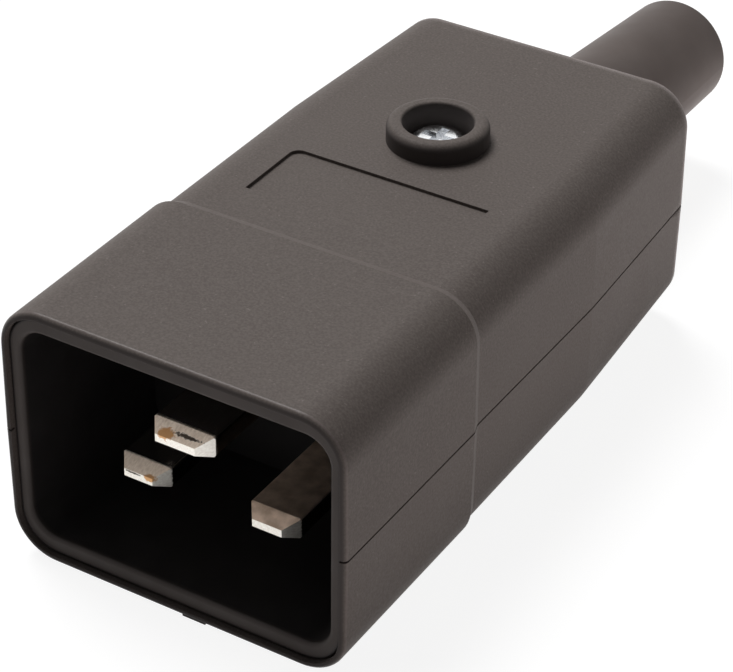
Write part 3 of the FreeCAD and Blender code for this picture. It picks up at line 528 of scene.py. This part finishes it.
def cast_glow(look):
    """Glow that the table casts on the plug: most behind it on the right, little beside it and far away."""
    lowest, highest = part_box("upper_shell")
    place = look.place()
    slanted = look.vector("DOT_PRODUCT", place, (GLOW_SLANT, 1.0, 0.0))
    glow = look.remap(slanted, -GLOW_REACH, GLOW_REACH, GLOW_FRONT, GLOW_BACK)
    aside = look.vector("ABSOLUTE", look.vector("SUBTRACT", place, middle_of("upper_shell") * FLAT))
    beyond = look.vector("SUBTRACT", aside, (highest - lowest) / 2 * FLAT)
    away = look.vector("LENGTH", look.vector("MAXIMUM", beyond, (0.0, 0.0, 0.0)))
    glow = look.times(glow, look.remap(away, 0.0, BESIDE_REACH, GLOW_BESIDE, 1.0))
    glow = look.times(glow, look.remap(away, *FAR_FADE, 1.0, GLOW_FAR))
    left = look.remap(look.parts(place)["X"], lowest.x - LEFT_REACH, lowest.x, GLOW_LEFT, 1.0)
    return look.times(glow, left)


def white_floor():
    """Lit white table: it keeps the plug's soft shadow and reads white where nothing shades it."""
    look = Shading("white_floor")
    patches = look.remap(look.noise(FLOOR_PATCH), *SOFT)
    seen = seen_directly(look.tree)
    glow = look.remap(seen, 0.0, 1.0, cast_glow(look), GLOW_SEEN)
    material = look.finish(Base_Color=look.mix(patches, FLOOR_DARK, FLOOR_LIGHT),
                           Roughness=FLOOR_ROUGHNESS, Specular_IOR_Level=0.0,
                           Emission_Color=look.mix(seen, CAST_WARM, WHITE), Emission_Strength=glow)
    bpy.ops.mesh.primitive_plane_add(size=FLOOR_SIZE, location=(0.0, 0.0, 0.0))
    floor = bpy.context.object
    floor.name = "floor"
    floor.data.materials.append(material)


def white_world():
    """White surroundings, dim for the light that they cast on the object."""
    world = bpy.data.worlds.new("studio")
    world.use_nodes = True
    tree = world.node_tree
    strength = tree.nodes.new("ShaderNodeMapRange")
    strength.inputs["To Min"].default_value = WORLD_LIGHT
    strength.inputs["To Max"].default_value = 1.0
    tree.links.new(seen_directly(tree), strength.inputs["Value"])
    background = tree.nodes["Background"]
    background.inputs["Color"].default_value = (*WHITE, 1.0)
    tree.links.new(strength.outputs["Result"], background.inputs["Strength"])
    bpy.context.scene.world = world


# Lamp and camera

KEY_PLACE = Vector((-0.85, 0.45, 1.72))
KEY_TARGET = Vector((0.0, 0.0, 0.01))
KEY_SIZE = 1.0
KEY_POWER = 33.0

# Camera fitted to the photograph's edges: its place, three turns in degrees, sensor and lens in millimetres
CAMERA_PLACE = Vector((102.78, -186.24, 146.70)) * MM
CAMERA_AZIMUTH = 31.16
CAMERA_ELEVATION = 34.436
CAMERA_ROLL = 0.68
SENSOR_WIDTH = 36.0
LENS_LENGTH = 131.17


def key_softbox():
    """Square softbox above the plug, behind it on the left."""
    lamp = bpy.data.lights.new("key_softbox", "AREA")
    lamp.shape = "SQUARE"
    lamp.size = KEY_SIZE
    lamp.energy = KEY_POWER
    box = bpy.data.objects.new("key_softbox", lamp)
    box.location = KEY_PLACE
    box.rotation_euler = (KEY_TARGET - KEY_PLACE).to_track_quat("-Z", "Y").to_euler()
    bpy.context.scene.collection.objects.link(box)


def photo_camera():
    """Camera at the photograph's viewing angle."""
    camera = bpy.data.cameras.new("camera")
    camera.sensor_width = SENSOR_WIDTH
    camera.lens = LENS_LENGTH
    camera.clip_start = MM
    holder = bpy.data.objects.new("camera", camera)
    turn = Matrix.Rotation(math.radians(CAMERA_AZIMUTH), 4, "Z")
    tilt = Matrix.Rotation(math.radians(90.0 - CAMERA_ELEVATION), 4, "X")
    roll = Matrix.Rotation(math.radians(CAMERA_ROLL), 4, "Z")
    holder.matrix_world = Matrix.Translation(CAMERA_PLACE) @ turn @ tilt @ roll
    bpy.context.scene.collection.objects.link(holder)
    bpy.context.scene.camera = holder


dress_nodes()
white_floor()
white_world()
key_softbox()
photo_camera()
bpy.context.scene.view_settings.view_transform = "Standard"
